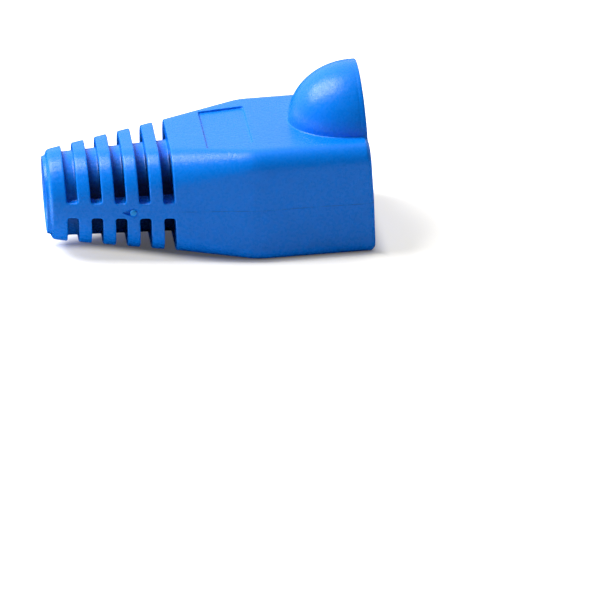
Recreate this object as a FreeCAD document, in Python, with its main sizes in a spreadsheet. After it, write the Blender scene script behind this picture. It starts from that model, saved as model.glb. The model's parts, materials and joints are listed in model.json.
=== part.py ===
import FreeCAD, Part
import math
import os

import Sketcher

# Strain relief boot for a modular cable plug, moulded in one piece.
#
# Inside the body the X axis is the cable axis, from the cable end (X = 0) to the
# plug end, Z points up to the latch cover and Z = 0 is the parting plane of the
# mould. The finished body is placed with its origin under the middle of its length,
# at the height of the underside.

SIZES = [
    # What goes into the boot.
    ("cable_diameter", 5.8),
    ("cable_clearance", 0.1),
    ("plug_width", 11.7),
    ("plug_height", 8.1),
    ("plug_clearance", 0.1),
    ("plug_rise", 0.1),
    ("plug_depth", 10.5),
    ("plug_corner_radius", 0.5),
    ("funnel_length", 2.2),
    ("funnel_step", 0.3),
    # Sleeve round the plug.
    ("sleeve_length", 10.15),
    ("side_wall", 1.45),
    ("roof_wall", 0.85),
    ("floor_wall", 0.75),
    ("sleeve_upper_radius", 1.7),
    ("sleeve_lower_radius", 1.2),
    ("rear_edge_chamfer", 0.3),
    ("rear_draft", 1.6),
    # Shoulder, where the tapered body meets the ribs. The land keeps the last slot
    # clear of the change of taper.
    ("shoulder_land", 0.6),
    ("shoulder_length", 6.2),
    ("shoulder_reach", 2.19),
    ("shoulder_rise", 0.79),
    ("shoulder_drop", 0.61),
    ("shoulder_upper_radius", 2.95),
    ("shoulder_lower_radius", 2.8),
    # Collar and ribbed neck.
    ("collar_length", 1.7),
    ("collar_wall", 0.9),
    ("collar_flare", 0.22),
    ("collar_flat", 0.15),
    ("collar_edge_radius", 0.62),
    ("mouth_chamfer", 0.2),
    ("slot_count", 5),
    ("slot_width", 0.96),
    ("slot_pitch", 2.04),
    ("slot_corner_radius", 0.22),
    ("bar_height", 1.37),
    ("core_wall_front", 0.58),
    ("core_wall_rear", 0.95),
    # Latch cover, a hollow half egg that ends in a short straight lip.
    ("cover_length", 6.45),
    ("cover_lip", 0.65),
    ("cover_width", 10.1),
    ("cover_height", 4.95),
    ("cover_wall", 0.8),
    # Label recess on the sloping roof. It runs a little past the bend.
    ("label_length", 3.9),
    ("label_width", 8.5),
    ("label_depth", 0.2),
    ("label_overrun", 0.22),
    # Gate mark on the side bar.
    ("gate_radius", 0.36),
    ("gate_stub_radius", 0.31),
    ("gate_tail", 1.0),
    ("gate_depth", 0.3),
    ("gate_stub_rise", 0.05),
    ("gate_drop", 0.12),
]

QUARTER = math.pi / 2

doc = FreeCAD.newDocument("strain_relief_boot")
sheet = doc.addObject("Spreadsheet::Sheet", "Sizes")
for row, (alias, number) in enumerate(SIZES, start=1):
    sheet.set("A%d" % row, alias)
    sheet.set("B%d" % row, str(number))
    sheet.setAlias("B%d" % row, alias)
doc.recompute()


def size(alias):
    """Return the expression that reads one named size from the sheet."""
    return "Sizes." + alias


def value(expression):
    """Return the number that an expression of named sizes gives."""
    result = sheet.evalExpression(str(expression))
    return float(getattr(result, "Value", result))


# Lengths and heights that follow from the named sizes.
BORE_RADIUS = "(Sizes.cable_diameter / 2 + Sizes.cable_clearance)"
CORE_FRONT = "(%s + Sizes.core_wall_front)" % BORE_RADIUS
CORE_REAR = "(%s + Sizes.core_wall_rear)" % BORE_RADIUS
COLLAR_FRONT = "(%s + Sizes.collar_wall)" % BORE_RADIUS
COLLAR_REAR = "(%s + Sizes.collar_flare)" % COLLAR_FRONT

NECK_END = "(Sizes.collar_length + Sizes.slot_pitch * (Sizes.slot_count - 1) + Sizes.slot_width)"
SHOULDER = "(%s + Sizes.shoulder_land)" % NECK_END
CORE_END = "(%s + Sizes.shoulder_land / 2)" % NECK_END
BEND = "(%s + Sizes.shoulder_length)" % SHOULDER
LENGTH = "(%s + Sizes.sleeve_length)" % BEND

SHOULDER_SIDE = "(%s + Sizes.shoulder_reach)" % CORE_REAR
SHOULDER_TOP = "(%s + Sizes.shoulder_rise)" % CORE_REAR
SHOULDER_BOTTOM = "(%s + Sizes.shoulder_drop)" % CORE_REAR

CAVITY_SIDE = "(Sizes.plug_width / 2 + Sizes.plug_clearance)"
CAVITY_TOP = "(Sizes.plug_height / 2 + Sizes.plug_clearance + Sizes.plug_rise)"
CAVITY_BOTTOM = "(Sizes.plug_height / 2 + Sizes.plug_clearance - Sizes.plug_rise)"
CAVITY_FRONT = "(%s - Sizes.plug_depth)" % LENGTH
FUNNEL_FRONT = "(%s - Sizes.funnel_length)" % CAVITY_FRONT
FUNNEL_REAR = "(%s - Sizes.funnel_step)" % CAVITY_BOTTOM
SLEEVE_SIDE = "(%s + Sizes.side_wall)" % CAVITY_SIDE
SLEEVE_TOP = "(%s + Sizes.roof_wall)" % CAVITY_TOP
SLEEVE_BOTTOM = "(%s + Sizes.floor_wall)" % CAVITY_BOTTOM

ROOF_SLOPE = "((%s - %s) / Sizes.shoulder_length)" % (SLEEVE_TOP, SHOULDER_TOP)
NECK_LENGTH = "(%s - Sizes.collar_length)" % SHOULDER
SIDE_SLOPE = "((%s - %s) / %s)" % (SHOULDER_SIDE, COLLAR_REAR, NECK_LENGTH)

COVER_CENTRE_X = "(%s - Sizes.cover_lip)" % LENGTH
COVER_CENTRE_Z = "(%s + Sizes.cover_height - Sizes.cover_width / 2)" % SLEEVE_TOP
COVER_REACH = "(Sizes.cover_length - Sizes.cover_lip)"
COVER_RADIUS = "(Sizes.cover_width / 2)"
ROOM_REACH = "(%s - Sizes.cover_wall)" % COVER_REACH
ROOM_RADIUS = "(%s - Sizes.cover_wall)" % COVER_RADIUS
PAST_END = "(Sizes.cover_lip + 1)"
ABOVE_ALL = "(%s + Sizes.cover_height + 1)" % SLEEVE_TOP
BELOW_ALL = "(%s + 1)" % SLEEVE_BOTTOM

GATE_RUN = "(2.5 * Sizes.slot_pitch + Sizes.slot_width / 2)"
GATE_X = "(Sizes.collar_length + %s)" % GATE_RUN
GATE_FLOOR = "(%s + %s * %s - Sizes.gate_depth)" % (COLLAR_REAR, SIDE_SLOPE, GATE_RUN)

body = doc.addObject("PartDesign::Body", "strain_relief_boot")
body.Label = "strain_relief_boot"
ORIGIN = {feature.Role: feature for feature in body.Origin.OriginFeatures}


def add_feature(kind, name):
    """Add a PartDesign feature to the boot."""
    return body.newObject("PartDesign::" + kind, name)


def new_sketch(name, plane, offset=None):
    """Add a sketch on an origin plane, moved along the plane's normal."""
    sketch = body.newObject("Sketcher::SketchObject", name)
    sketch.AttachmentSupport = [(ORIGIN[plane], "")]
    sketch.MapMode = "FlatFace"
    if offset is not None:
        sketch.setExpression("AttachmentOffset.Base.z", offset)
    return sketch


def point(horizontal, vertical):
    """Return a point in a sketch's own plane."""
    return FreeCAD.Vector(horizontal, vertical, 0)


def line(sketch, start, end):
    """Add a straight line to a sketch and return its index."""
    return sketch.addGeometry(Part.LineSegment(start, end), False)


def arc(sketch, centre, radius, quarter):
    """Add a quarter circle that starts at the given quarter turn."""
    circle = Part.Circle(centre, FreeCAD.Vector(0, 0, 1), radius)
    start = quarter * QUARTER
    return sketch.addGeometry(Part.ArcOfCircle(circle, start, start + QUARTER), False)


def constrain(sketch, name, expression, kind, *where):
    """Add a named dimension to a sketch and bind it to the sheet."""
    index = sketch.addConstraint(Sketcher.Constraint(kind, *where, value(expression)))
    sketch.renameConstraint(index, name)
    sketch.setExpression("Constraints." + name, expression)


def fix(sketch, kind, *where):
    """Add a geometric constraint to a sketch."""
    sketch.addConstraint(Sketcher.Constraint(kind, *where))


def rounded_section(name, offset, side, top, bottom, upper_radius, lower_radius):
    """Draw a section square to the cable axis, with rounded corners.

    The outline runs round from the right-hand side: side, corner, top, corner and
    so on. All sections share this order, so a loft joins like to like.
    """
    sketch = new_sketch(name, "YZ_Plane", offset)
    w, t, b = value(side), value(top), value(bottom)
    u, v = value(upper_radius), value(lower_radius)
    line(sketch, point(w, v - b), point(w, t - u))
    arc(sketch, point(w - u, t - u), u, 0)
    line(sketch, point(w - u, t), point(u - w, t))
    arc(sketch, point(u - w, t - u), u, 1)
    line(sketch, point(-w, t - u), point(-w, v - b))
    arc(sketch, point(v - w, v - b), v, 2)
    line(sketch, point(v - w, -b), point(w - v, -b))
    arc(sketch, point(w - v, v - b), v, 3)
    for index in range(8):
        fix(sketch, "Tangent", index, 2, (index + 1) % 8, 1)
    fix(sketch, "Vertical", 0)
    fix(sketch, "Horizontal", 2)
    fix(sketch, "Vertical", 4)
    fix(sketch, "Horizontal", 6)
    constrain(sketch, "right_side", side, "DistanceX", -1, 1, 0, 1)
    constrain(sketch, "left_side", side, "DistanceX", 4, 1, -1, 1)
    constrain(sketch, "top", top, "DistanceY", -1, 1, 2, 1)
    constrain(sketch, "bottom", bottom, "DistanceY", 6, 1, -1, 1)
    constrain(sketch, "upper_right", upper_radius, "Radius", 1)
    constrain(sketch, "upper_left", upper_radius, "Radius", 3)
    constrain(sketch, "lower_left", lower_radius, "Radius", 5)
    constrain(sketch, "lower_right", lower_radius, "Radius", 7)
    return sketch


def round_section(name, offset, radius):
    """Draw a full circle as eight arcs that match the parts of a rounded section.

    The four short arcs stand where a rounded section has its flat sides, and the
    four long ones where it has its corners.
    """
    sketch = new_sketch(name, "YZ_Plane", offset)
    r, flat = value(radius), value(size("collar_flat"))
    small = math.asin(flat / r)
    circle = Part.Circle(point(0, 0), FreeCAD.Vector(0, 0, 1), r)
    for quarter in range(4):
        middle = quarter * QUARTER
        sketch.addGeometry(Part.ArcOfCircle(circle, middle - small, middle + small), False)
        sketch.addGeometry(Part.ArcOfCircle(circle, middle + small, middle + QUARTER - small), False)
    for index in range(7):
        fix(sketch, "Coincident", index, 3, -1, 1)
    for index in range(8):
        fix(sketch, "Coincident", index, 2, (index + 1) % 8, 1)
    fix(sketch, "Equal", 7, 0)
    constrain(sketch, "radius", radius, "Radius", 0)
    for index in (0, 4):
        first, last = (1, 2) if index == 0 else (2, 1)
        constrain(sketch, "low%d" % index, size("collar_flat"), "DistanceY", index, first, -1, 1)
        constrain(sketch, "high%d" % index, size("collar_flat"), "DistanceY", -1, 1, index, last)
    for index in (2, 6):
        first, last = (2, 1) if index == 2 else (1, 2)
        constrain(sketch, "left%d" % index, size("collar_flat"), "DistanceX", index, first, -1, 1)
        constrain(sketch, "right%d" % index, size("collar_flat"), "DistanceX", -1, 1, index, last)
    return sketch


def collar_outline(name):
    """Draw the collar's side view above the cable axis, its front edge rounded."""
    sketch = new_sketch(name, "XZ_Plane")
    length, r = value(size("collar_length")), value(size("collar_edge_radius"))
    front, rear = value(COLLAR_FRONT), value(COLLAR_REAR)
    line(sketch, point(0, 0), point(0, front - r))
    arc(sketch, point(r, front - r), r, 1)
    line(sketch, point(r, front), point(length, rear))
    line(sketch, point(length, rear), point(length, 0))
    line(sketch, point(length, 0), point(0, 0))
    fix(sketch, "Tangent", 0, 2, 1, 2)
    fix(sketch, "Tangent", 1, 1, 2, 1)
    fix(sketch, "Coincident", 2, 2, 3, 1)
    fix(sketch, "Coincident", 3, 2, 4, 1)
    fix(sketch, "Coincident", 4, 2, 0, 1)
    fix(sketch, "Coincident", 4, 2, -1, 1)
    fix(sketch, "Vertical", 0)
    fix(sketch, "Vertical", 3)
    fix(sketch, "Horizontal", 4)
    constrain(sketch, "edge", size("collar_edge_radius"), "Radius", 1)
    constrain(sketch, "length", size("collar_length"), "DistanceX", -1, 1, 3, 1)
    constrain(sketch, "rear", COLLAR_REAR, "DistanceY", -1, 1, 2, 2)
    constrain(sketch, "front", COLLAR_FRONT, "DistanceY", -1, 1, 1, 1)
    return sketch


def slot_outline(name, up):
    """Draw the side view of the first slot, above or below the side bars.

    The two corners beside the bar are rounded. The outline below is the one above
    turned by half a turn about the slot's middle.
    """
    sketch = new_sketch(name, "XZ_Plane")
    front, width = value(size("collar_length")), value(size("slot_width"))
    low, corner = value("Sizes.bar_height / 2"), value(size("slot_corner_radius"))
    high = value(ABOVE_ALL)
    middle, sign = front + width / 2, 1 if up else -1

    def at(across, height):
        return point(middle + sign * across, sign * height)

    half = width / 2
    line(sketch, at(-half, high), at(-half, low + corner))
    arc(sketch, at(corner - half, low + corner), corner, 2 if up else 0)
    line(sketch, at(corner - half, low), at(half - corner, low))
    arc(sketch, at(half - corner, low + corner), corner, 3 if up else 1)
    line(sketch, at(half, low + corner), at(half, high))
    line(sketch, at(half, high), at(-half, high))
    for index in range(4):
        fix(sketch, "Tangent", index, 2, index + 1, 1)
    fix(sketch, "Coincident", 4, 2, 5, 1)
    fix(sketch, "Coincident", 5, 2, 0, 1)
    fix(sketch, "Vertical", 0)
    fix(sketch, "Horizontal", 2)
    fix(sketch, "Vertical", 4)
    fix(sketch, "Horizontal", 5)
    constrain(sketch, "corner", size("slot_corner_radius"), "Radius", 1)
    constrain(sketch, "other_corner", size("slot_corner_radius"), "Radius", 3)
    if up:
        constrain(sketch, "front", size("collar_length"), "DistanceX", -1, 1, 0, 1)
        constrain(sketch, "width", size("slot_width"), "DistanceX", 0, 1, 4, 2)
        constrain(sketch, "bar_edge", "Sizes.bar_height / 2", "DistanceY", -1, 1, 2, 1)
        constrain(sketch, "reach", ABOVE_ALL, "DistanceY", -1, 1, 5, 1)
    else:
        constrain(sketch, "front", size("collar_length"), "DistanceX", -1, 1, 4, 2)
        constrain(sketch, "width", size("slot_width"), "DistanceX", 4, 2, 0, 1)
        constrain(sketch, "bar_edge", "Sizes.bar_height / 2", "DistanceY", 2, 1, -1, 1)
        constrain(sketch, "reach", ABOVE_ALL, "DistanceY", 5, 1, -1, 1)
    return sketch


def polygon(name, corners):
    """Draw a closed side view whose corners are pairs of expressions.

    A coordinate of None keeps the corner on that axis of the sketch.
    """
    sketch = new_sketch(name, "XZ_Plane")
    places = [point(value(x or 0), value(z or 0)) for x, z in corners]
    for index, place in enumerate(places):
        line(sketch, place, places[(index + 1) % len(places)])
    for index, (x, z) in enumerate(corners):
        fix(sketch, "Coincident", index, 2, (index + 1) % len(corners), 1)
        if x is None:
            fix(sketch, "PointOnObject", index, 1, -2)
        else:
            constrain(sketch, "x%d" % index, x, "DistanceX", -1, 1, index, 1)
        if z is None:
            fix(sketch, "PointOnObject", index, 1, -1)
        else:
            constrain(sketch, "z%d" % index, z, "DistanceY", -1, 1, index, 1)
    return sketch


def cover_sketch(name):
    """Add an empty sketch whose origin is the centre of the latch cover."""
    sketch = new_sketch(name, "XZ_Plane")
    sketch.setExpression("AttachmentOffset.Base.x", COVER_CENTRE_X)
    sketch.setExpression("AttachmentOffset.Base.y", COVER_CENTRE_Z)
    return sketch


def close_cover(sketch, reach, radius):
    """Close a cover's outline behind its curve, which is the sketch's first part.

    The straight lip runs out past the plug end, where it is trimmed later.
    """
    a, r, end = value(reach), value(radius), value(PAST_END)
    base = line(sketch, point(-a, 0), point(end, 0))
    back = line(sketch, point(end, 0), point(end, r))
    lip = line(sketch, point(end, r), point(a - r if a > r else 0, r))
    fix(sketch, "Coincident", 0, 2, base, 1)
    fix(sketch, "Coincident", base, 2, back, 1)
    fix(sketch, "Coincident", back, 2, lip, 1)
    fix(sketch, "Coincident", lip, 2, 0, 1)
    fix(sketch, "Horizontal", base)
    fix(sketch, "Vertical", back)
    fix(sketch, "Horizontal", lip)
    constrain(sketch, "past_end", PAST_END, "DistanceX", -1, 1, back, 1)


def cover_outline(name):
    """Draw half of the latch cover along its axis, a quarter ellipse and the lip."""
    sketch = cover_sketch(name)
    a, r = value(COVER_REACH), value(COVER_RADIUS)
    lying = a >= r
    long_way, short_way = (point(a, 0), point(0, r)) if lying else (point(0, r), point(-a, 0))
    start = QUARTER if lying else 0
    ellipse = Part.Ellipse(long_way, short_way, point(0, 0))
    sketch.addGeometry(Part.ArcOfEllipse(ellipse, start, start + QUARTER), False)
    sketch.exposeInternalGeometry(0)
    flat, upright = (1, 2) if lying else (2, 1)
    fix(sketch, "Coincident", 0, 3, -1, 1)
    fix(sketch, "Horizontal", flat)
    fix(sketch, "PointOnObject", 0, 1, -2)
    fix(sketch, "PointOnObject", 0, 2, -1)
    constrain(sketch, "reach", "2 * " + COVER_REACH, "Distance", flat)
    constrain(sketch, "width", "2 * " + COVER_RADIUS, "Distance", upright)
    close_cover(sketch, COVER_REACH, COVER_RADIUS)
    return sketch


def room_outline(name):
    """Draw half of the latch room along the cover's axis, with a ball end."""
    sketch = cover_sketch(name)
    reach, radius = value(ROOM_REACH), value(ROOM_RADIUS)
    arc(sketch, point(radius - reach, 0), radius, 1)
    close_cover(sketch, ROOM_REACH, ROOM_RADIUS)
    fix(sketch, "PointOnObject", 0, 3, -1)
    fix(sketch, "PointOnObject", 0, 2, -1)
    fix(sketch, "Vertical", 0, 3, 0, 1)
    constrain(sketch, "radius", ROOM_RADIUS, "Radius", 0)
    constrain(sketch, "reach", ROOM_REACH, "DistanceX", 0, 2, -1, 1)
    return sketch


def loft(kind, name, sections):
    """Join sections with straight walls."""
    feature = add_feature(kind, name)
    feature.Profile = sections[0]
    feature.Sections = sections[1:]
    feature.Ruled = True
    return feature


def through(name, sketch):
    """Cut a side view through the whole width."""
    feature = add_feature("Pocket", name)
    feature.Profile = sketch
    feature.SideType = "Symmetric"
    feature.Type = "Length"
    feature.setExpression("Length", "4 * " + SLEEVE_SIDE)
    return feature


def turned(kind, name, sketch, axis=None):
    """Turn an outline once round the cable axis, or round another one."""
    feature = add_feature(kind, name)
    feature.Profile = sketch
    feature.ReferenceAxis = axis or (ORIGIN["X_Axis"], [""])
    return feature


def bevel_edges(name, base, width, chosen):
    """Bevel those edges of a feature's shape that a test accepts."""
    names = []
    for index, edge in enumerate(base.Shape.Edges, start=1):
        if chosen(edge.BoundBox):
            names.append("Edge%d" % index)
    feature = add_feature("Chamfer", name)
    feature.Base = (base, names)
    feature.setExpression("Size", width)
    body.Tip = feature
    doc.recompute()
    return feature


# Round collar at the cable end: a slight cone with a well-rounded front edge.
turned("Revolution", "Collar", collar_outline("CollarOutline"))

# Outer form behind it: round at the collar, widening and squaring off to the
# shoulder, on to the bend and ending in a straight sleeve.
neck_section = round_section("NeckSection", size("collar_length"), COLLAR_REAR)
shoulder_section = rounded_section(
    "ShoulderSection", SHOULDER, SHOULDER_SIDE, SHOULDER_TOP, SHOULDER_BOTTOM,
    size("shoulder_upper_radius"), size("shoulder_lower_radius"),
)
bend_section = rounded_section(
    "BendSection", BEND, SLEEVE_SIDE, SLEEVE_TOP, SLEEVE_BOTTOM,
    size("sleeve_upper_radius"), size("sleeve_lower_radius"),
)
envelope = loft("AdditiveLoft", "Envelope", [neck_section, shoulder_section, bend_section])
sleeve_section = rounded_section(
    "SleeveSection", BEND, SLEEVE_SIDE, SLEEVE_TOP, SLEEVE_BOTTOM,
    size("sleeve_upper_radius"), size("sleeve_lower_radius"),
)
sleeve = add_feature("Pad", "Sleeve")
sleeve.Profile = sleeve_section
sleeve.setExpression("Length", size("sleeve_length"))
body.Tip = sleeve
doc.recompute()

# Slots that make the ribs: one above and one below the side bars, then the row.
upper_slot = through("UpperSlot", slot_outline("UpperSlotOutline", True))
lower_slot = through("LowerSlot", slot_outline("LowerSlotOutline", False))
doc.recompute()
slots = add_feature("LinearPattern", "Slots")
slots.Originals = [upper_slot, lower_slot]
slots.Direction = (ORIGIN["X_Axis"], [""])
slots.Mode = "Extent"
slots.setExpression("Length", "Sizes.slot_pitch * (Sizes.slot_count - 1)")
slots.setExpression("Occurrences", size("slot_count"))
body.Tip = slots
doc.recompute()


# Tapered tube that joins the ribs round the cable.
core_outline = polygon("CoreOutline", [
    (size("collar_length") + " / 2", None),
    (CORE_END, None),
    (CORE_END, CORE_REAR),
    (size("collar_length") + " / 2", CORE_FRONT),
])
body.Tip = turned("Revolution", "Core", core_outline)
doc.recompute()

# Latch cover: the half egg and its straight lip, still solid.
cover_profile = cover_outline("CoverOutline")
turned("Revolution", "Cover", cover_profile, (cover_profile, ["H_Axis"]))

# Plug end: upright below the parting plane and leaning in above it.
rear_outline = polygon("PlugEndOutline", [
    (LENGTH, "-" + BELOW_ALL),
    ("2 * " + LENGTH, "-" + BELOW_ALL),
    ("2 * " + LENGTH, ABOVE_ALL),
    ("%s - tan(Sizes.rear_draft * 1 deg) * %s" % (LENGTH, ABOVE_ALL), ABOVE_ALL),
    (LENGTH, None),
])
rear_face = through("PlugEnd", rear_outline)
body.Tip = rear_face
doc.recompute()

bevel_edges(
    "PlugEndEdge", rear_face, size("rear_edge_chamfer"),
    lambda box: box.XMin > value(LENGTH) - 1e-4 and box.ZMax < 1e-4 and box.ZMin < -1e-3,
)

# Label recess, its floor parallel to the sloping roof.
label_rear = "(%s + Sizes.label_overrun)" % BEND
label_front = "(%s - Sizes.label_length)" % label_rear


def roof_at(place):
    """Return the expression for the roof's height between shoulder and bend."""
    return "(%s + %s * (%s - %s))" % (SHOULDER_TOP, ROOF_SLOPE, place, SHOULDER)


label = add_feature("Pocket", "LabelRecess")
label.Profile = polygon("LabelOutline", [
    (label_front, roof_at(label_front) + " - Sizes.label_depth"),
    (label_rear, roof_at(label_rear) + " - Sizes.label_depth"),
    (label_rear, ABOVE_ALL),
    (label_front, ABOVE_ALL),
])
label.SideType = "Symmetric"
label.Type = "Length"
label.setExpression("Length", size("label_width"))

# Gate mark: a drop-shaped sink with the round stub left standing in it.
drop = new_sketch("GateOutline", "XZ_Plane", GATE_FLOOR)
gate_x, gate_z = value(GATE_X), -value(size("gate_drop"))
gate_r, tail = value(size("gate_radius")), value(size("gate_tail"))
run = gate_r * gate_r / tail
rise = (gate_r * gate_r - run * run) ** 0.5
tip = point(gate_x - tail, gate_z)
upper, lower = point(gate_x - run, gate_z + rise), point(gate_x - run, gate_z - rise)
drop.addGeometry(Part.Arc(lower, point(gate_x + gate_r, gate_z), upper), False)
line(drop, upper, tip)
line(drop, tip, lower)
fix(drop, "Tangent", 0, 2, 1, 1)
fix(drop, "Coincident", 1, 2, 2, 1)
fix(drop, "Tangent", 2, 2, 0, 1)
constrain(drop, "radius", size("gate_radius"), "Radius", 0)
constrain(drop, "place", GATE_X, "DistanceX", -1, 1, 0, 3)
constrain(drop, "drop", size("gate_drop"), "DistanceY", 0, 3, -1, 1)
constrain(drop, "tail", size("gate_tail"), "DistanceX", 1, 2, 0, 3)
constrain(drop, "level", size("gate_drop"), "DistanceY", 1, 2, -1, 1)
gate = add_feature("Pocket", "Gate")
gate.Profile = drop
gate.Reversed = True
gate.setExpression("Length", "Sizes.gate_depth + 1")

stub_outline = new_sketch("GateStubOutline", "XZ_Plane", GATE_FLOOR)
stub_circle = Part.Circle(point(gate_x, gate_z), FreeCAD.Vector(0, 0, 1), 1)
stub_outline.addGeometry(stub_circle, False)
constrain(stub_outline, "radius", size("gate_stub_radius"), "Radius", 0)
constrain(stub_outline, "place", GATE_X, "DistanceX", -1, 1, 0, 3)
constrain(stub_outline, "drop", size("gate_drop"), "DistanceY", 0, 3, -1, 1)
stub = add_feature("Pad", "GateStub")
stub.Profile = stub_outline
stub.setExpression("Length", "Sizes.gate_depth + Sizes.gate_stub_rise")

# Room for the plug, the funnel ahead of it and the bore for the cable.
plug_room = add_feature("Pocket", "PlugRoom")
plug_room.Profile = rounded_section(
    "PlugRoomOutline", LENGTH, CAVITY_SIDE, CAVITY_TOP, CAVITY_BOTTOM,
    size("plug_corner_radius"), size("plug_corner_radius"),
)
plug_room.setExpression("Length", size("plug_depth"))
body.Tip = plug_room
doc.recompute()

# One profile makes the chamfered mouth, the bore and the funnel.
bore_profile = polygon("BoreOutline", [
    (None, None),
    (CAVITY_FRONT, None),
    (CAVITY_FRONT, FUNNEL_REAR),
    (FUNNEL_FRONT, BORE_RADIUS),
    (size("mouth_chamfer"), BORE_RADIUS),
    (None, "%s + Sizes.mouth_chamfer" % BORE_RADIUS),
])
body.Tip = turned("Groove", "Bore", bore_profile)
doc.recompute()

# Hollow of the latch cover, open at the plug end and down into the plug room.
room_profile = room_outline("CoverRoomOutline")
body.Tip = turned("Groove", "CoverRoom", room_profile, (room_profile, ["H_Axis"]))
doc.recompute()

body.setExpression("Placement.Base.x", "-%s / 2" % LENGTH)
body.setExpression("Placement.Base.z", SLEEVE_BOTTOM)
doc.recompute()

for item in doc.Objects:
    if "Invalid" in item.State or "Error" in item.State:
        raise RuntimeError("%s did not build: %s" % (item.Name, item.State))
if body.Shape.isNull() or not body.Shape.isValid() or len(body.Shape.Solids) != 1:
    raise RuntimeError("The boot is not one valid solid")

os.makedirs("parts", exist_ok=True)
body.Shape.exportStep("parts/%s.step" % body.Label)
box = body.Shape.optimalBoundingBox(False, False)
print("strain_relief_boot: %.2f x %.2f x %.2f mm, %.1f mm3, %d faces" % (
    box.XLength, box.YLength, box.ZLength, body.Shape.Volume, len(body.Shape.Faces)))
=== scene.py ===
"""The strain relief boot in its studio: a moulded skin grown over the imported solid, dressed in satin PVC.

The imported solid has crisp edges. The skin keeps its walls and gives each rim the small radius of a soft PVC
moulding, and it carries the faint ledge where the two mould halves met. All sizes are in metres, in the frame
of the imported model: the cable runs along X, the latch cover is up, and the boot rests on Z = 0.
"""

import json
import logging
import math
from dataclasses import dataclass, field, replace
from enum import Enum

import bmesh
import bpy
import numpy as np
from mathutils import Matrix, Vector


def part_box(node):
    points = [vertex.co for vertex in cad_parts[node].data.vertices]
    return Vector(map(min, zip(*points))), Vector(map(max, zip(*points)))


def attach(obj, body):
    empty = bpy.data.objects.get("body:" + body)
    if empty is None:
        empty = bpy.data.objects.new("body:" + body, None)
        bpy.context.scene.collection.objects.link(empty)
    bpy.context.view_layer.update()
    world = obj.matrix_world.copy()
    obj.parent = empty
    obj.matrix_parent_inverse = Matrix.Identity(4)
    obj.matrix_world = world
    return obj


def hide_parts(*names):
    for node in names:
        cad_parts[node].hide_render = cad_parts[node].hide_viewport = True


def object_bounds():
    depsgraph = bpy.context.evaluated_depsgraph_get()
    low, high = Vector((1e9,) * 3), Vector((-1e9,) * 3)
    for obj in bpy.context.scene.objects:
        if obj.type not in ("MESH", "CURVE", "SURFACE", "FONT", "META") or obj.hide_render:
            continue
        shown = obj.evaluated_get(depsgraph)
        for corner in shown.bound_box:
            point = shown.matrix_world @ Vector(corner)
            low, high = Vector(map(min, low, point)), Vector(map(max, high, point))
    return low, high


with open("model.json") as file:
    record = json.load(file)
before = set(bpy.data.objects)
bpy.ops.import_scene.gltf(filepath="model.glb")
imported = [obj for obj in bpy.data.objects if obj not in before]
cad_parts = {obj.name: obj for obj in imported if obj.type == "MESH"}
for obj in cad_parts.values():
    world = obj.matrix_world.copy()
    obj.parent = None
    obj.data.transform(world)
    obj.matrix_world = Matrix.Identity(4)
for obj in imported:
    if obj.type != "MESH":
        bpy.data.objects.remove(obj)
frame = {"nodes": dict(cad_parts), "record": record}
CAD_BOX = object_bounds()

MM = 0.001
NODE = "strain_relief_boot"
BODY = "root"
PIECE = "boot_skin"
LOG = logging.getLogger("strain_relief_boot")

WHITE = (1.0, 1.0, 1.0, 1.0)
# Most values of the noise textures lie between these two.
NOISE_BAND = (0.35, 0.65)

# A linear colour with its alpha, a start and an end, and a place in metres.
Colour = tuple[float, float, float, float]
Span = tuple[float, float]
Spot = tuple[float, float, float]

Tree = bpy.types.NodeTree
Socket = bpy.types.NodeSocket


class SkinGrade(Enum):
    """How finely the skin is grown, as the voxel pitch in metres and the most triangles."""

    DRAFT = (0.09 * MM, 60000)
    FINE = (0.05 * MM, 186000)

    @property
    def pitch(self) -> float:
        """Edge of one voxel."""
        return self.value[0]

    @property
    def triangles(self) -> int:
        """Most triangles that the skin may have."""
        return self.value[1]


# ---------------------------------------------------------------------------------------------------------
# Node helpers
# ---------------------------------------------------------------------------------------------------------


def add_node(tree: Tree, kind: str, **settings: object) -> bpy.types.Node:
    """Adds a node and sets its properties.

    Args:
        tree: The node tree that gets the node.
        kind: The node's type name, such as "ShaderNodeMath".
        **settings: Properties of the node, by name.

    Returns:
        The new node.
    """
    node = tree.nodes.new(kind)
    for name, setting in settings.items():
        setattr(node, name, setting)
    return node


def feed(tree: Tree, socket: Socket, source: object) -> None:
    """Gives an input socket a link or a plain value.

    Args:
        tree: The node tree that both are in.
        socket: The input socket.
        source: An output socket to link from, or the value to set.
    """
    if isinstance(source, Socket):
        tree.links.new(source, socket)
    else:
        socket.default_value = source


def math_node(tree: Tree, operation: str, *terms: object) -> Socket:
    """Adds a Math node.

    Args:
        tree: The node tree.
        operation: The Math node's operation.
        *terms: Its inputs in order, each an output socket or a number.

    Returns:
        The node's output socket.
    """
    node = add_node(tree, "ShaderNodeMath", operation=operation)
    for socket, term in zip(node.inputs, terms):
        feed(tree, socket, term)
    return node.outputs[0]


def ramp(tree: Tree, value: Socket, low: float, high: float, start: float, end: float) -> Socket:
    """Maps a value from one range to another with a smooth step, held at both ends.

    Args:
        tree: The node tree.
        value: The value to map.
        low: The value that gives start.
        high: The value that gives end.
        start: The result at low.
        end: The result at high.

    Returns:
        The output socket.
    """
    node = add_node(tree, "ShaderNodeMapRange", interpolation_type="SMOOTHSTEP")
    sources = {"Value": value, "From Min": low, "From Max": high, "To Min": start, "To Max": end}
    for name, source in sources.items():
        feed(tree, node.inputs[name], source)
    return node.outputs["Result"]


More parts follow.
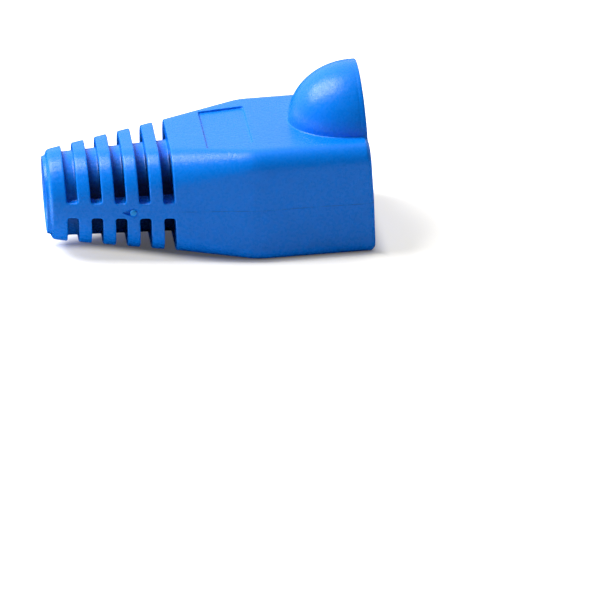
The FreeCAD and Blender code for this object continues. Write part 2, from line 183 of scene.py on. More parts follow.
def mix_colour(tree: Tree, share: Socket, first: object, second: object) -> Socket:
    """Mixes two colours.

    Args:
        tree: The node tree.
        share: How much of the second colour shows, from 0 to 1.
        first: The first colour, as an output socket or as values.
        second: The second colour, likewise.

    Returns:
        The mixed colour's output socket.
    """
    node = add_node(tree, "ShaderNodeMix", data_type="RGBA")
    for index, source in ((0, share), (6, first), (7, second)):
        feed(tree, node.inputs[index], source)
    return node.outputs[2]


def new_group(name: str, inputs: dict[str, str], outputs: tuple[str, ...]) -> tuple[Tree, dict, dict]:
    """Makes an empty shader node group.

    Args:
        name: The group's name.
        inputs: Socket type names by input name.
        outputs: Names of the outputs, each a plain value.

    Returns:
        The group, the sockets to take its inputs from, and those to give its outputs to, by name.
    """
    group = bpy.data.node_groups.new(name, "ShaderNodeTree")
    for socket, kind in inputs.items():
        group.interface.new_socket(name=socket, in_out="INPUT", socket_type=kind)
    for socket in outputs:
        group.interface.new_socket(name=socket, in_out="OUTPUT", socket_type="NodeSocketFloat")
    taken = add_node(group, "NodeGroupInput").outputs
    given = add_node(group, "NodeGroupOutput").inputs
    return group, {name: taken[name] for name in inputs}, {name: given[name] for name in outputs}


def place_group(tree: Tree, group: Tree, **values: object) -> bpy.types.Node:
    """Places a node group in a material.

    Args:
        tree: The material's node tree.
        group: The group.
        **values: What feeds its inputs, by their names in lower case.

    Returns:
        The group's node.
    """
    node = add_node(tree, "ShaderNodeGroup", node_tree=group)
    for name, source in values.items():
        feed(tree, node.inputs[name.title()], source)
    return node


# ---------------------------------------------------------------------------------------------------------
# Shared surface effects
# ---------------------------------------------------------------------------------------------------------


@dataclass(frozen=True)
class SparkGrain:
    """The fine eroded texture of the mould, as a node group that puts out height, gloss and tone."""

    name: str = "spark_grain"
    coarse: float = 2.3
    cloud: float = 38.0
    fine_share: float = 0.6
    coarse_share: float = 0.4
    noise_roughness: float = 0.55

    def build(self) -> Tree:
        """Builds the group.

        Returns:
            A group with Height and Gloss from the grain, and Tone from slow clouds in the plastic.
        """
        group, enter, leave = new_group(
            self.name,
            {"Position": "NodeSocketVector", "Pitch": "NodeSocketFloat"},
            ("Height", "Gloss", "Tone"),
        )
        position, pitch = enter["Position"], enter["Pitch"]
        fine = self._noise(group, position, pitch, 2.0)
        broad = self._noise(group, position, math_node(group, "MULTIPLY", pitch, self.coarse), 1.0)
        cloud = self._noise(group, position, math_node(group, "MULTIPLY", pitch, self.cloud), 2.0)
        fine_height = math_node(group, "MULTIPLY", fine, self.fine_share)
        coarse_height = math_node(group, "MULTIPLY", broad, self.coarse_share)
        feed(group, leave["Height"], math_node(group, "ADD", fine_height, coarse_height))
        feed(group, leave["Gloss"], broad)
        feed(group, leave["Tone"], cloud)
        return group

    def _noise(self, group: Tree, position: Socket, size: Socket, detail: float) -> Socket:
        """Adds noise of one size.

        Args:
            group: The group.
            position: The surface point.
            size: Width of the noise's marks.
            detail: Octaves of the noise.

        Returns:
            The noise value, from 0 to 1.
        """
        shrink = add_node(group, "ShaderNodeVectorMath", operation="SCALE")
        feed(group, shrink.inputs[0], position)
        feed(group, shrink.inputs["Scale"], math_node(group, "DIVIDE", 1.0, size))
        noise = add_node(group, "ShaderNodeTexNoise")
        feed(group, noise.inputs["Vector"], shrink.outputs[0])
        feed(group, noise.inputs["Scale"], 1.0)
        feed(group, noise.inputs["Detail"], detail)
        feed(group, noise.inputs["Roughness"], self.noise_roughness)
        return noise.outputs["Fac"]


@dataclass(frozen=True)
class SeamLine:
    """The parting line of the mould: where it runs, its ledge in the skin and its shade in the finish."""

    level: float
    half_width: float = 0.05 * MM
    groove: float = 0.008 * MM
    ledge: float = 0.004 * MM
    ledge_run: float = 0.5 * MM
    wander: float = 0.025 * MM
    waves: tuple[Span, ...] = ((1.0, 2.9 * MM), (0.6, 1.13 * MM))
    neck_share: float = 0.25
    shade_width: float = 1.3
    shade_run: float = 1.6 * MM
    shade: Span = (0.1, 0.8)
    wall_band: float = 0.8 * MM
    wall_slice: float = 0.25 * MM
    wall_skin: float = 0.3 * MM
    wall_facing: float = 0.3
    attribute: str = "seam_wall"

    def course(self, along: np.ndarray) -> np.ndarray:
        """Height of the line.

        Args:
            along: Places along the boot.

        Returns:
            The line's height at each.
        """
        return self.level + self.wander * sum(share * np.sin(along / run) for share, run in self.waves)

    def push(self, points: np.ndarray, outer: np.ndarray) -> np.ndarray:
        """How far the skin moves outward to show the line.

        Args:
            points: The skin's vertices.
            outer: 1 on the boot's outer walls, and 0 elsewhere.

        Returns:
            Outward distance for each vertex: a shallow groove on the line, and a ledge that dies out
            below it.
        """
        above = points[:, 2] - self.course(points[:, 0])
        groove = -self.groove * np.exp(-((above / self.half_width) ** 2))
        rise = np.clip(-above / self.half_width, 0, 1)
        ledge = self.ledge * rise * np.clip(1 + above / self.ledge_run, 0, 1)
        return (groove + ledge) * outer

    def walls(self, points: np.ndarray, normals: np.ndarray) -> np.ndarray:
        """Finds the walls that the line can cross.

        Args:
            points: Vertices, in metres.
            normals: Their normals.

        Returns:
            1 for a vertex on an outer side or on the rear end near the line, and 0 for any other.
        """
        low, high = points[:, 0].min(), points[:, 0].max()
        near = np.abs(points[:, 2] - self.level) < self.wall_band
        slices = ((points[:, 0] - low) / self.wall_slice).astype(int)
        widest = np.zeros(slices.max() + 1)
        np.maximum.at(widest, slices[near], np.abs(points[near, 1]))
        side = np.abs(points[:, 1]) > widest[slices] - self.wall_skin
        side &= normals[:, 1] * np.sign(points[:, 1]) > self.wall_facing
        rear = (points[:, 0] > high - self.wall_skin) & (normals[:, 0] > self.wall_facing)
        return ((side | rear) & near).astype(float)

    def shade_group(self) -> Tree:
        """Builds the group that shades the line.

        Returns:
            A group with Mask, from 0 off the line to 1 in it.
        """
        inputs = {"Position": "NodeSocketVector", "Outer": "NodeSocketFloat"}
        group, enter, leave = new_group("seam_shade", inputs, ("Mask",))
        parts = add_node(group, "ShaderNodeSeparateXYZ")
        feed(group, parts.inputs[0], enter["Position"])
        line = self.level
        for share, run in self.waves:
            wave = math_node(group, "SINE", math_node(group, "DIVIDE", parts.outputs["X"], run))
            line = math_node(group, "ADD", line, math_node(group, "MULTIPLY", wave, share * self.wander))
        away = math_node(group, "ABSOLUTE", math_node(group, "SUBTRACT", parts.outputs["Z"], line))
        near = ramp(group, away, 0.0, self.half_width * self.shade_width, 1.0, 0.0)
        uneven = add_node(group, "ShaderNodeTexNoise", noise_dimensions="1D")
        feed(group, uneven.inputs["W"], math_node(group, "DIVIDE", parts.outputs["X"], self.shade_run))
        feed(group, uneven.inputs["Scale"], 1.0)
        strength = ramp(group, uneven.outputs["Fac"], *NOISE_BAND, *self.shade)
        on_walls = math_node(group, "MULTIPLY", strength, enter["Outer"])
        feed(group, leave["Mask"], math_node(group, "MULTIPLY", near, on_walls))
        return group


@dataclass(frozen=True)
class GateStub:
    """The cut stub of the moulding gate: a small domed disc in a ring groove, pale where it was torn."""

    centre: Spot
    radius: float = 0.30 * MM
    ring: float = 0.09 * MM
    ring_depth: float = 0.09 * MM
    dome: float = 0.05 * MM
    side_reach: float = 0.6 * MM
    far_off: float = 1.0
    blush_edge: Span = (0.8, 1.1)

    def away(self, points: np.ndarray) -> np.ndarray:
        """Distance from the gate's centre line.

        Args:
            points: Vertices, in metres.

        Returns:
            The distance of each, in the plane of the boot's side; far off for vertices on other walls.
        """
        across = points - np.array(self.centre)
        flat = np.hypot(across[:, 0], across[:, 2])
        return np.where(np.abs(across[:, 1]) < self.side_reach, flat, self.far_off)

    def push(self, points: np.ndarray) -> np.ndarray:
        """How far the skin moves outward to show the stub.

        Args:
            points: The skin's vertices.

        Returns:
            Outward distance for each vertex: a dome on the stub, and a groove round it.
        """
        away = self.away(points)
        dome = self.dome * np.clip(1 - (away / self.radius) ** 2, 0, 1)
        across_ring = (away - self.radius - self.ring / 2) / (self.ring / 2)
        return dome - self.ring_depth * np.exp(-(across_ring ** 2))

    def blush_group(self) -> Tree:
        """Builds the group that finds the torn plastic on the stub.

        Returns:
            A group with Mask, 1 on the stub and 0 elsewhere.
        """
        group, enter, leave = new_group("gate_blush", {"Position": "NodeSocketVector"}, ("Mask",))
        gap = add_node(group, "ShaderNodeVectorMath", operation="DISTANCE")
        feed(group, gap.inputs[0], enter["Position"])
        feed(group, gap.inputs[1], self.centre)
        inner, outer = (self.radius * share for share in self.blush_edge)
        feed(group, leave["Mask"], ramp(group, gap.outputs["Value"], inner, outer, 1.0, 0.0))
        return group


@dataclass(frozen=True)
class SoftBend:
    """The easy bend where the tapered shoulder meets the straight sleeve."""

    place: float
    axis_height: float
    half_width: float = 0.9 * MM
    side_turn: float = 0.20
    roof_turn: float = 0.06
    inner_side: float = 6.4 * MM
    inner_roof: float = 4.3 * MM

    def push(self, points: np.ndarray, normals: np.ndarray) -> np.ndarray:
        """How far the skin moves to round the bend.

        Args:
            points: The skin's vertices.
            normals: Their normals.

        Returns:
            Outward distance for each vertex, which is never above 0.
        """
        near = np.clip(self.half_width - np.abs(points[:, 0] - self.place), 0, None)
        turn = self.side_turn * np.abs(normals[:, 1]) + self.roof_turn * np.abs(normals[:, 2])
        outside = np.abs(points[:, 1]) > self.inner_side
        outside |= np.abs(points[:, 2] - self.axis_height) > self.inner_roof
        return -turn / (4 * self.half_width) * near ** 2 * outside


@dataclass(frozen=True)
class LipLine:
    """The fine line round the latch cover where its dome meets its straight lip."""

    place: float
    centre_height: float
    inner_radius: float = 4.65 * MM
    depth: float = 0.014 * MM
    half_width: float = 0.06 * MM
    foot_share: float = 0.1

    def push(self, points: np.ndarray) -> np.ndarray:
        """How far the skin moves to show the line.

        Args:
            points: The skin's vertices.

        Returns:
            Outward distance for each vertex, which is never above 0.
        """
        radius = np.hypot(points[:, 1], points[:, 2] - self.centre_height)
        foot = self.centre_height + self.inner_radius * self.foot_share
        outside = (radius > self.inner_radius) & (points[:, 2] > foot)
        across_line = (points[:, 0] - self.place) / self.half_width
        return -self.depth * np.exp(-(across_line ** 2)) * outside


@dataclass(frozen=True)
class MouthRing:
    """The raised ring round the cable's mouth, outside of which the collar's rounded edge is set back."""

    front: float
    axis_height: float
    outer: float = 3.34 * MM
    step: float = 0.09 * MM
    set_back: float = 0.28 * MM
    run: float = 0.80 * MM

    def shift(self, points: np.ndarray) -> np.ndarray:
        """How far the skin moves back along the cable's axis.

        Args:
            points: The skin's vertices.

        Returns:
            The distance of each: all of it on the collar's edge and none on the ring or behind the edge.
        """
        radius = np.hypot(points[:, 1], points[:, 2] - self.axis_height)
        outside = np.clip((radius - self.outer) / self.step, 0, 1)
        near = np.clip(1 - (points[:, 0] - self.front) / self.run, 0, 1)
        return self.set_back * outside * near


@dataclass(frozen=True)
class SlotDepth:
    """How deep a place lies in the neck's slots, kept on the skin so that the finish can paint shade there.
    """

    axis_height: float
    neck: Span
    shallow: float = 0.25 * MM
    deep: float = 1.3 * MM
    slice_width: float = 0.25 * MM
    span: int = 5
    sectors: int = 90
    floor_slope: float = 0.45
    floor_blend: float = 0.5
    attribute: str = "slot_depth"

    def measure(self, points: np.ndarray, normals: np.ndarray) -> np.ndarray:
        """Measures each vertex against the outline of the ribs around it.

        Args:
            points: Vertices, in metres.
            normals: Their normals.

        Returns:
            Share of painted shade: 0 at the ribs' outline, off the neck and where the slot's floor faces up,
            up to 1 deep in a slot.
        """
        height = points[:, 2] - self.axis_height
        radius = np.hypot(points[:, 1], height)
        turn = np.arctan2(height, points[:, 1]) / (2 * math.pi) + 0.5
        sector = (turn * self.sectors).astype(int) % self.sectors
        place = np.clip(((points[:, 0] - self.neck[0]) / self.slice_width).astype(int), 0, None)
        on_neck = (points[:, 0] > self.neck[0]) & (points[:, 0] < self.neck[1])
        outline = np.zeros((place[on_neck].max() + 1, self.sectors))
        np.maximum.at(outline, (place[on_neck], sector[on_neck]), radius[on_neck])
        widest = outline.copy()
        for step in range(1, self.span + 1):
            widest[step:] = np.maximum(widest[step:], outline[:-step])
            widest[:-step] = np.maximum(widest[:-step], outline[step:])
        below = np.zeros(len(points))
        below[on_neck] = widest[place[on_neck], sector[on_neck]] - radius[on_neck]
        share = np.clip((below - self.shallow) / (self.deep - self.shallow), 0, 1)
        open_above = np.clip((normals[:, 2] - self.floor_slope) / self.floor_blend, 0, 1)
        return share * share * (3 - 2 * share) * (1 - open_above)


# ---------------------------------------------------------------------------------------------------------
# Finishes
# ---------------------------------------------------------------------------------------------------------


@dataclass(frozen=True)
class SatinPvc:
    """Blue satin PVC with the mould's grain, and painted shade in the deep slots and along the parting line.
    """

    colour: Colour = (0.0, 0.205, 0.90, 1.0)
    pale_colour: Colour = (0.001, 0.225, 0.92, 1.0)
    # Painted shade in the parting line's shallow groove.
    seam_shade_colour: Colour = (0.0, 0.10, 0.50, 1.0)
    torn_colour: Colour = (0.02, 0.36, 0.95, 1.0)
    # Painted shade: deep in the neck's slots the colour turns towards this near-black blue.
    slot_shade_colour: Colour = (0.0, 0.010, 0.06, 1.0)
    slot_shade_strength: float = 0.95
    roughness: Span = (0.24, 0.35)
    specular: float = 0.29
    grain_pitch: float = 0.13 * MM
    grain_depth: float = 0.024 * MM

    def material(self, seam: SeamLine, gate: GateStub, slots: SlotDepth) -> bpy.types.Material:
        """Builds the material.

        Args:
            seam: The parting line that the finish shades.
            gate: The gate stub that the finish makes pale.
            slots: The measure of depth in the slots, where the finish paints shade.

        Returns:
            The material.
        """
        made = bpy.data.materials.new("satin_pvc")
        made.use_nodes = True
        tree = made.node_tree
        shader = tree.nodes["Principled BSDF"]
        place = add_node(tree, "ShaderNodeTexCoord").outputs["Object"]
        outer = add_node(tree, "ShaderNodeAttribute", attribute_name=seam.attribute)
        depth = add_node(tree, "ShaderNodeAttribute", attribute_name=slots.attribute)
        grain = place_group(tree, SparkGrain().build(), position=place, pitch=self.grain_pitch)
        line = place_group(tree, seam.shade_group(), position=place, outer=outer.outputs["Fac"])
        blush = place_group(tree, gate.blush_group(), position=place)
        plain = mix_colour(tree, grain.outputs["Tone"], self.colour, self.pale_colour)
        # Painted shade along the parting line, uneven along its run.
        seam_shaded = mix_colour(tree, line.outputs["Mask"], plain, self.seam_shade_colour)
        torn = mix_colour(tree, blush.outputs["Mask"], seam_shaded, self.torn_colour)
        # Painted shade in the deep slots, as strong as the slot_depth measure gives.
        dark = math_node(tree, "MULTIPLY", depth.outputs["Fac"], self.slot_shade_strength)
        gloss = ramp(tree, grain.outputs["Gloss"], *NOISE_BAND, *self.roughness)
        bump = add_node(tree, "ShaderNodeBump")
        feed(tree, bump.inputs["Strength"], 1.0)
        feed(tree, bump.inputs["Distance"], self.grain_depth)
        feed(tree, bump.inputs["Height"], grain.outputs["Height"])
        feed(tree, shader.inputs["Base Color"], mix_colour(tree, dark, torn, self.slot_shade_colour))
        feed(tree, shader.inputs["Roughness"], gloss)
        feed(tree, shader.inputs["Specular IOR Level"], self.specular)
        feed(tree, shader.inputs["Normal"], bump.outputs["Normal"])
        return made


@dataclass(frozen=True)
class WhitePaper:
    """The studio floor: matt white paper that shows white to the camera and keeps the boot's soft shadow.

    For the camera alone, the paper is lifted: by the first lift right under the boot, and by the second away
    from it. The low lift under the boot paints a shadow there: a wedge that widens along contact_run
    from no width to painted_shadow_half, and it fades out over painted_shadow_edge.
    """

    colour: Colour = (0.80, 0.80, 0.80, 1.0)
    lift: Span = (0.06, 0.60)
    warmth: Colour = (1.0, 0.97, 0.88, 1.0)
    end: float = 13.9 * MM
    contact_run: Span = (-14.0 * MM, 5.0 * MM)
    painted_shadow_half: float = 6.8 * MM
    painted_shadow_edge: Span = (-0.6 * MM, 1.4 * MM)

    def material(self) -> bpy.types.Material:
        """Builds the material: diffuse paper, and the camera's lift, low under the boot as painted shadow.

        Returns:
            The material.
        """
        made = bpy.data.materials.new("white_paper")
        made.use_nodes = True
        tree = made.node_tree
        tree.nodes.clear()
        paper = add_node(tree, "ShaderNodeBsdfDiffuse")
        feed(tree, paper.inputs["Color"], self.colour)
        glow = add_node(tree, "ShaderNodeEmission")
        feed(tree, glow.inputs["Color"], self.warmth)
        seen = add_node(tree, "ShaderNodeLightPath").outputs["Is Camera Ray"]
        place = add_node(tree, "ShaderNodeSeparateXYZ")
        feed(tree, place.inputs[0], add_node(tree, "ShaderNodeTexCoord").outputs["Object"])
        half = ramp(tree, place.outputs["X"], *self.contact_run, 0.0, self.painted_shadow_half)
        beside = math_node(tree, "SUBTRACT", math_node(tree, "ABSOLUTE", place.outputs["Y"]), half)
        beyond = math_node(tree, "SUBTRACT", math_node(tree, "ABSOLUTE", place.outputs["X"]), self.end)
        # Painted shadow: the lift stays low in the wedge under the boot and rises away from it.
        clear = ramp(tree, math_node(tree, "MAXIMUM", beside, beyond), *self.painted_shadow_edge, *self.lift)
        feed(tree, glow.inputs["Strength"], math_node(tree, "MULTIPLY", seen, clear))
        both = add_node(tree, "ShaderNodeAddShader")
        feed(tree, both.inputs[0], paper.outputs[0])
        feed(tree, both.inputs[1], glow.outputs[0])
        leave = add_node(tree, "ShaderNodeOutputMaterial")
        feed(tree, leave.inputs["Surface"], both.outputs[0])
        return made


# ---------------------------------------------------------------------------------------------------------
# The moulding
# ---------------------------------------------------------------------------------------------------------


@dataclass(frozen=True)
class CrispZone:
    """An oval region round a small moulded mark whose edges stay sharper than the rims."""

    centre: Spot
    reach: Spot
    softening: float
    fade: float = 3.0

    def weight(self, points: np.ndarray) -> np.ndarray:
        """Share of the softening that each point gets.

        Args:
            points: The skin's vertices.

        Returns:
            A number from softening, in the middle, to 1, outside the region.
        """
        away = np.linalg.norm((points - np.array(self.centre)) / np.array(self.reach), axis=1)
        outside = np.clip(away * self.fade - (self.fade - 1), 0, 1)
        return np.clip(self.softening + (1 - self.softening) * outside, 0, 1)


@dataclass
class MouldedSkin:
    """The boot's visible surface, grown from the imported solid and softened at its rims."""

    node: str
    grade: SkinGrade
    seam: SeamLine
    gate: GateStub
    slots: SlotDepth
    bend: SoftBend
    lip: LipLine
    ring: MouthRing
    finish: SatinPvc
    crisp: tuple[CrispZone, ...] = ()
    rim_radius: float = 0.17 * MM
    pull: float = 0.5
    work_scale: float = 100.0
    weld: float = 1e-7
    piece: bpy.types.Object = field(init=False)

    def make(self) -> bpy.types.Object:
        """Grows, softens, thins and dresses the skin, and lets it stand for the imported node.

        Returns:
            The finished piece.
        """
        grown = self._grow()
        points = self._soften(grown)
        self._mark_moulding(grown, points)
        thinned = self._thin(grown)
        thinned.transform(Matrix.Scale(1 / self.work_scale, 4))
        thinned.name = PIECE
        thinned.shade_smooth()
        self._note_places(thinned)
        self.piece = bpy.data.objects.new(PIECE, thinned)
        bpy.context.scene.collection.objects.link(self.piece)
        thinned.materials.clear()
        thinned.materials.append(self.finish.material(self.seam, self.gate, self.slots))
        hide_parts(self.node)
        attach(self.piece, BODY)
        LOG.info("%s: %d vertices, %d faces", PIECE, len(thinned.vertices), len(thinned.polygons))
        return self.piece

    def _evaluated(self, mesh: bpy.types.Mesh, kind: str, **settings: object) -> bpy.types.Mesh:
        """Runs one modifier over a mesh.

        Args:
            mesh: The mesh.
            kind: The modifier's type.
            **settings: Its settings.

        Returns:
            The result, as a mesh of its own.
        """
        carrier = bpy.data.objects.new("carrier", mesh)
        bpy.context.scene.collection.objects.link(carrier)
        modifier = carrier.modifiers.new(kind.lower(), kind)
        for name, setting in settings.items():
            setattr(modifier, name, setting)
        depsgraph = bpy.context.evaluated_depsgraph_get()
        result = bpy.data.meshes.new_from_object(carrier.evaluated_get(depsgraph))
        bpy.data.objects.remove(carrier)
        return result

    def _grow(self) -> bpy.types.Mesh:
        """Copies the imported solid's surface as an even mesh.

        Returns:
            The mesh at work_scale, because the voxel modifier takes no pitch under a tenth of a millimetre.
        """
        work = bmesh.new()
        work.from_mesh(frame["nodes"][self.node].data)
        bmesh.ops.remove_doubles(work, verts=work.verts, dist=self.weld)
        bmesh.ops.scale(work, vec=(self.work_scale,) * 3, verts=work.verts)
        solid = bpy.data.meshes.new("solid")
        work.to_mesh(solid)
        work.free()
        return self._evaluated(solid, "REMESH", mode="VOXEL", voxel_size=self.grade.pitch * self.work_scale)

    def _soften(self, grown: bpy.types.Mesh) -> np.ndarray:
        """Rounds the rims by averaging each vertex with its neighbours.

        Args:
            grown: The even mesh, whose vertices move.

        Returns:
            The softened vertices, in metres.
        """
        points = read_points(grown) / self.work_scale
        edges = np.empty(len(grown.edges) * 2, np.int64)
        grown.edges.foreach_get("vertices", edges)
        first, second = edges[0::2], edges[1::2]
        count = len(points)
        degree = np.bincount(first, minlength=count) + np.bincount(second, minlength=count)
        weight = np.full(count, self.pull)
        for zone in self.crisp:
            weight *= zone.weight(points)
        passes = max(1, round((self.rim_radius / self.grade.pitch) ** 2))
        for _ in range(passes):
            for axis in range(3):
                line = points[:, axis]
                total = np.bincount(first, line[second], count)
                total += np.bincount(second, line[first], count)
                line += weight * (total / degree - line)
        write_points(grown, points * self.work_scale)
        return points

    def _mark_moulding(self, grown: bpy.types.Mesh, points: np.ndarray) -> None:
        """Presses the parting line, the gate, the bend, the lip line and the mouth's ring into the skin.

        Args:
            grown: The softened mesh, whose vertices move.
            points: Its vertices, in metres.
        """
        normals = read_normals(grown)
        push = self.seam.push(points, self._seam_share(points, normals)) + self.gate.push(points)
        push += self.bend.push(points, normals) + self.lip.push(points)
        moved = points + normals * push[:, None]
        moved[:, 0] += self.ring.shift(points)
        write_points(grown, moved * self.work_scale)

    def _seam_share(self, points: np.ndarray, normals: np.ndarray) -> np.ndarray:
        """How strongly the parting line shows at each vertex.

        Args:
            points: Vertices, in metres.
            normals: Their normals.

        Returns:
            1 on the sleeve's outer walls, less on the neck, and 0 round the gate and on inner walls.
        """
        share = self.seam.walls(points, normals)
        share *= np.where(points[:, 0] < self.slots.neck[1], self.seam.neck_share, 1.0)
        return share * (self.gate.away(points) > 2 * self.gate.radius)

    def _note_places(self, mesh: bpy.types.Mesh) -> None:
        """Notes on the finished mesh where the seam shows and how deep the slots are, for painted shade.

        Args:
            mesh: The finished mesh.
        """
        points, normals = read_points(mesh), read_normals(mesh)
        notes = {
            self.seam.attribute: self._seam_share(points, normals),
            self.slots.attribute: self.slots.measure(points, normals),
        }
        for name, values in notes.items():
            note = mesh.attributes.new(name, "FLOAT", "POINT")
            note.data.foreach_set("value", values.astype(np.float32))

    def _thin(self, grown: bpy.types.Mesh) -> bpy.types.Mesh:
        """Collapses the flat walls so that the skin keeps its triangles for the rims.

        Args:
            grown: The softened mesh.

        Returns:
            The mesh with the grade's number of triangles at most.
        """
        ratio = min(1.0, self.grade.triangles / (2 * len(grown.polygons)))
        return self._evaluated(grown, "DECIMATE", decimate_type="COLLAPSE", ratio=ratio)


def read_points(mesh: bpy.types.Mesh) -> np.ndarray:
    """Vertices of a mesh.

    Args:
        mesh: The mesh.

    Returns:
        One row for each vertex.
    """
    flat = np.empty(len(mesh.vertices) * 3)
    mesh.vertices.foreach_get("co", flat)
    return flat.reshape(-1, 3)


def write_points(mesh: bpy.types.Mesh, points: np.ndarray) -> None:
    """Moves the vertices of a mesh.

    Args:
        mesh: The mesh.
        points: One row for each vertex.
    """
    mesh.vertices.foreach_set("co", points.astype(np.float32).ravel())
    mesh.update()


def read_normals(mesh: bpy.types.Mesh) -> np.ndarray:
    """Vertex normals of a mesh.

    Args:
        mesh: The mesh.

    Returns:
        One row for each vertex.
    """
    flat = np.empty(len(mesh.vertices) * 3, np.float32)
    mesh.vertex_normals.foreach_get("vector", flat)
    return flat.reshape(-1, 3).astype(float)


# ---------------------------------------------------------------------------------------------------------
# Studio
# ---------------------------------------------------------------------------------------------------------


@dataclass
class Studio:
    """A white floor, a softbox above the cable end, and a room that is bright behind and dark in front."""

    floor_half: float = 1.5
    box_size: Span = (0.20, 0.26)
    box_place: Spot = (-0.200, 0.075, 0.300)
    box_power: float = 2.05
    room_light: Span = (0.05, 0.90)
    room_band: Span = (-0.3, 0.6)
    horizon_band: Span = (-0.05, 0.1)
    low_light: float = 3.0
    low_band: Span = (-0.95, -0.6)

    def make(self) -> None:
        """Builds the floor, the softbox and the room."""
        self._floor()
        self._softbox()
        self._room()
        LOG.info("studio: floor %.1f m wide, softbox %.2f x %.2f m", 2 * self.floor_half, *self.box_size)

    def _floor(self) -> None:
        """Lays the paper floor at the boot's underside."""
        half, level = self.floor_half, CAD_BOX[0].z
        sheet = bpy.data.meshes.new("paper_floor")
        corners = [(-half, -half, level), (half, -half, level), (half, half, level), (-half, half, level)]
        sheet.from_pydata(corners, [], [(0, 1, 2, 3)])
        sheet.materials.append(WhitePaper().material())
        floor = bpy.data.objects.new("paper_floor", sheet)
        floor.visible_glossy = False
        bpy.context.scene.collection.objects.link(floor)

    def _softbox(self) -> None:
        """Hangs the softbox over the boot, turned towards it."""
        box = bpy.data.lights.new("softbox", "AREA")
        box.shape = "RECTANGLE"
        box.size, box.size_y = self.box_size
        box.energy = self.box_power
        holder = bpy.data.objects.new("softbox", box)
        holder.location = self.box_place
        holder.rotation_euler = (-Vector(self.box_place)).to_track_quat("-Z", "Y").to_euler()
        bpy.context.scene.collection.objects.link(holder)

    def _room(self) -> None:
        """Lights the room softly from behind and barely from the front, and shows it white to the camera.

        Below the horizon it stands for what shows in the gloss in place of the floor: lit paper at the
        softbox's side.
        """
        world = bpy.data.worlds.new("room")
        bpy.context.scene.world = world
        world.use_nodes = True
        tree = world.node_tree
        tree.nodes.clear()
        sky = add_node(tree, "ShaderNodeSeparateXYZ")
        feed(tree, sky.inputs[0], add_node(tree, "ShaderNodeTexCoord").outputs["Generated"])
        around = ramp(tree, sky.outputs["Y"], *self.room_band, *self.room_light)
        above = ramp(tree, sky.outputs["Z"], *self.horizon_band, 0.0, 1.0)
        low = ramp(tree, sky.outputs["X"], *self.low_band, self.low_light, 0.0)
        under = math_node(tree, "MULTIPLY", low, math_node(tree, "SUBTRACT", 1.0, above))
        over = math_node(tree, "MULTIPLY", around, above)
        light = add_node(tree, "ShaderNodeBackground")
        feed(tree, light.inputs["Color"], WHITE)
        feed(tree, light.inputs["Strength"], math_node(tree, "ADD", over, under))
        seen = add_node(tree, "ShaderNodeBackground")
        feed(tree, seen.inputs["Color"], WHITE)
        either = add_node(tree, "ShaderNodeMixShader")
        feed(tree, either.inputs[0], add_node(tree, "ShaderNodeLightPath").outputs["Is Camera Ray"])
        feed(tree, either.inputs[1], light.outputs[0])
        feed(tree, either.inputs[2], seen.outputs[0])
        feed(tree, add_node(tree, "ShaderNodeOutputWorld").inputs["Surface"], either.outputs[0])


@dataclass(frozen=True)
class Portrait:
    """The camera: a long lens a little above the boot, square to its side apart from a few degrees."""

    yaw: float = 5.5
    elevation: float = 23.89
    roll: float = -2.31
    distance: float = 429.48 * MM
    target_height: float = 7.4 * MM
    slide: Span = (8.34 * MM, -12.54 * MM)
    focal_widths: float = 8.3101333
    sensor: float = 36.0
    clip: Span = (0.01, 10.0)

    def make(self) -> bpy.types.Object:
        """Places the camera and makes it the scene's.

        Returns:
            The camera.
        """
        yaw, elevation, roll = (math.radians(angle) for angle in (self.yaw, self.elevation, self.roll))
        flat = math.cos(elevation)
        ahead = Vector((math.sin(yaw) * flat, math.cos(yaw) * flat, -math.sin(elevation)))
        level = Vector((math.cos(yaw), -math.sin(yaw), 0.0))
        upright = level.cross(ahead)
        right = level * math.cos(roll) + upright * math.sin(roll)
        up = upright * math.cos(roll) - level * math.sin(roll)
        spot = Vector((0.0, 0.0, self.target_height)) - ahead * self.distance
        spot += right * self.slide[0] + up * self.slide[1]
        lens = bpy.data.cameras.new("portrait")
        lens.sensor_width = self.sensor
        lens.lens = self.focal_widths * self.sensor
        lens.clip_start, lens.clip_end = self.clip
        camera = bpy.data.objects.new("portrait", lens)
        placed = Matrix((right, up, -ahead)).transposed().to_4x4()
        placed.translation = spot
        camera.matrix_world = placed
        bpy.context.scene.collection.objects.link(camera)
        bpy.context.scene.camera = camera
        LOG.info("portrait: %.0f mm lens at %.3f m", lens.lens, self.distance)
        return camera


# ---------------------------------------------------------------------------------------------------------
# The plan of the boot, and the run
# ---------------------------------------------------------------------------------------------------------


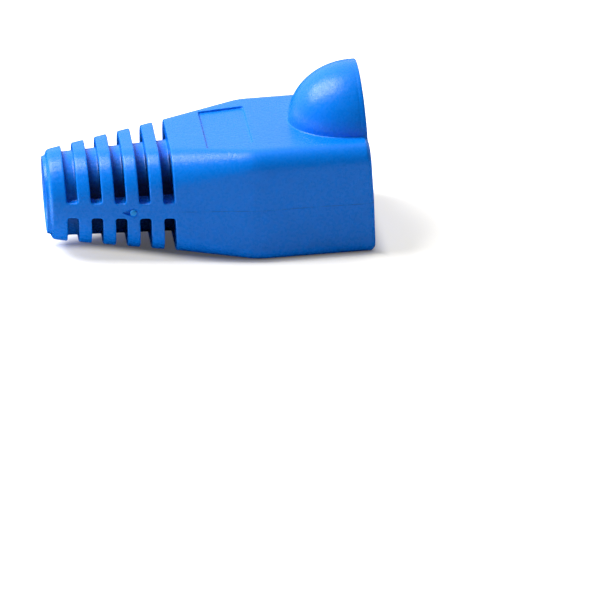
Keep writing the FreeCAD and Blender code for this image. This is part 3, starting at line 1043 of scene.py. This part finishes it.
@dataclass(frozen=True)
class BootPlan:
    """Where the moulding's marks are: runs from the cable end, and heights over the underside.

    front and axis_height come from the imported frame. The near side bar is the one at negative Y.
    """

    front: float
    axis_height: float
    gate_run: float = 7.28 * MM
    gate_drop: float = 0.12 * MM
    neck_runs: Span = (1.5 * MM, 11.4 * MM)
    bend_run: float = 17.62 * MM
    lip_run: float = 27.12 * MM
    cover_rise: float = 5.0 * MM
    side_floor: float = 3.5 * MM
    side_window: float = 1.6 * MM
    gate_zone: CrispZone = CrispZone((7.1 * MM, -5.2 * MM, 4.68 * MM), (2.2 * MM, 1.6 * MM, 1.0 * MM), 0.10)
    recess_zone: CrispZone = CrispZone((15.9 * MM, 0.0, 9.7 * MM), (3.4 * MM, 6.6 * MM, 1.0 * MM), 0.22)
    cover_zone: CrispZone = CrispZone((25.5 * MM, 0.0, 9.9 * MM), (6.0 * MM, 8.4 * MM, 1.2 * MM), 0.30)

    def seam(self) -> SeamLine:
        """The parting line, at the height of the cable's axis."""
        return SeamLine(self.axis_height)

    def gate(self) -> GateStub:
        """The gate's stub, on the near side bar."""
        place = self.front + self.gate_run
        return GateStub((place, -self._side_at(place), self.axis_height - self.gate_drop))

    def slots(self) -> SlotDepth:
        """The measure of the slots, over the neck's length."""
        return SlotDepth(self.axis_height, tuple(self.front + run for run in self.neck_runs))

    def bend(self) -> SoftBend:
        """The bend behind the tapered shoulder."""
        return SoftBend(self.front + self.bend_run, self.axis_height)

    def lip(self) -> LipLine:
        """The line round the latch cover, just ahead of the rear end."""
        return LipLine(self.front + self.lip_run, self.axis_height + self.cover_rise)

    def ring(self) -> MouthRing:
        """The ring round the cable's mouth."""
        return MouthRing(self.front, self.axis_height)

    def crisp(self) -> tuple[CrispZone, ...]:
        """The zones round the gate mark, the label recess and the foot of the latch cover, in the frame."""
        zones = (self.gate_zone, self.recess_zone, self.cover_zone)
        return tuple(replace(zone, centre=(self.front + zone.centre[0], *zone.centre[1:])) for zone in zones)

    def _side_at(self, place: float) -> float:
        """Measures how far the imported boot's side stands out at one place along it.

        Args:
            place: Place along the boot.

        Returns:
            The mean of the greatest distances from the middle plane just before and just behind the place.
        """
        points = read_points(frame["nodes"][NODE].data)
        along, aside = points[:, 0], np.abs(points[:, 1])
        outer = aside > self.side_floor
        before = outer & (along > place - self.side_window) & (along <= place)
        behind = outer & (along >= place) & (along < place + self.side_window)
        return float(aside[before].max() + aside[behind].max()) / 2


def main() -> None:
    """Builds the camera, the boot and the studio."""
    logging.basicConfig(level=logging.INFO, format="%(name)s: %(message)s")
    bpy.context.scene.view_settings.view_transform = "Standard"
    mounts = {mount["name"]: mount for mount in frame["record"]["mounts"]}
    plan = BootPlan(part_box(NODE)[0].x, mounts["cable_bore"]["pos_m"][2])
    Portrait().make()
    MouldedSkin(
        node=NODE,
        grade=SkinGrade.FINE,
        seam=plan.seam(),
        gate=plan.gate(),
        slots=plan.slots(),
        bend=plan.bend(),
        lip=plan.lip(),
        ring=plan.ring(),
        finish=SatinPvc(),
        crisp=plan.crisp(),
    ).make()
    Studio().make()


if __name__ == "__main__":
    main()
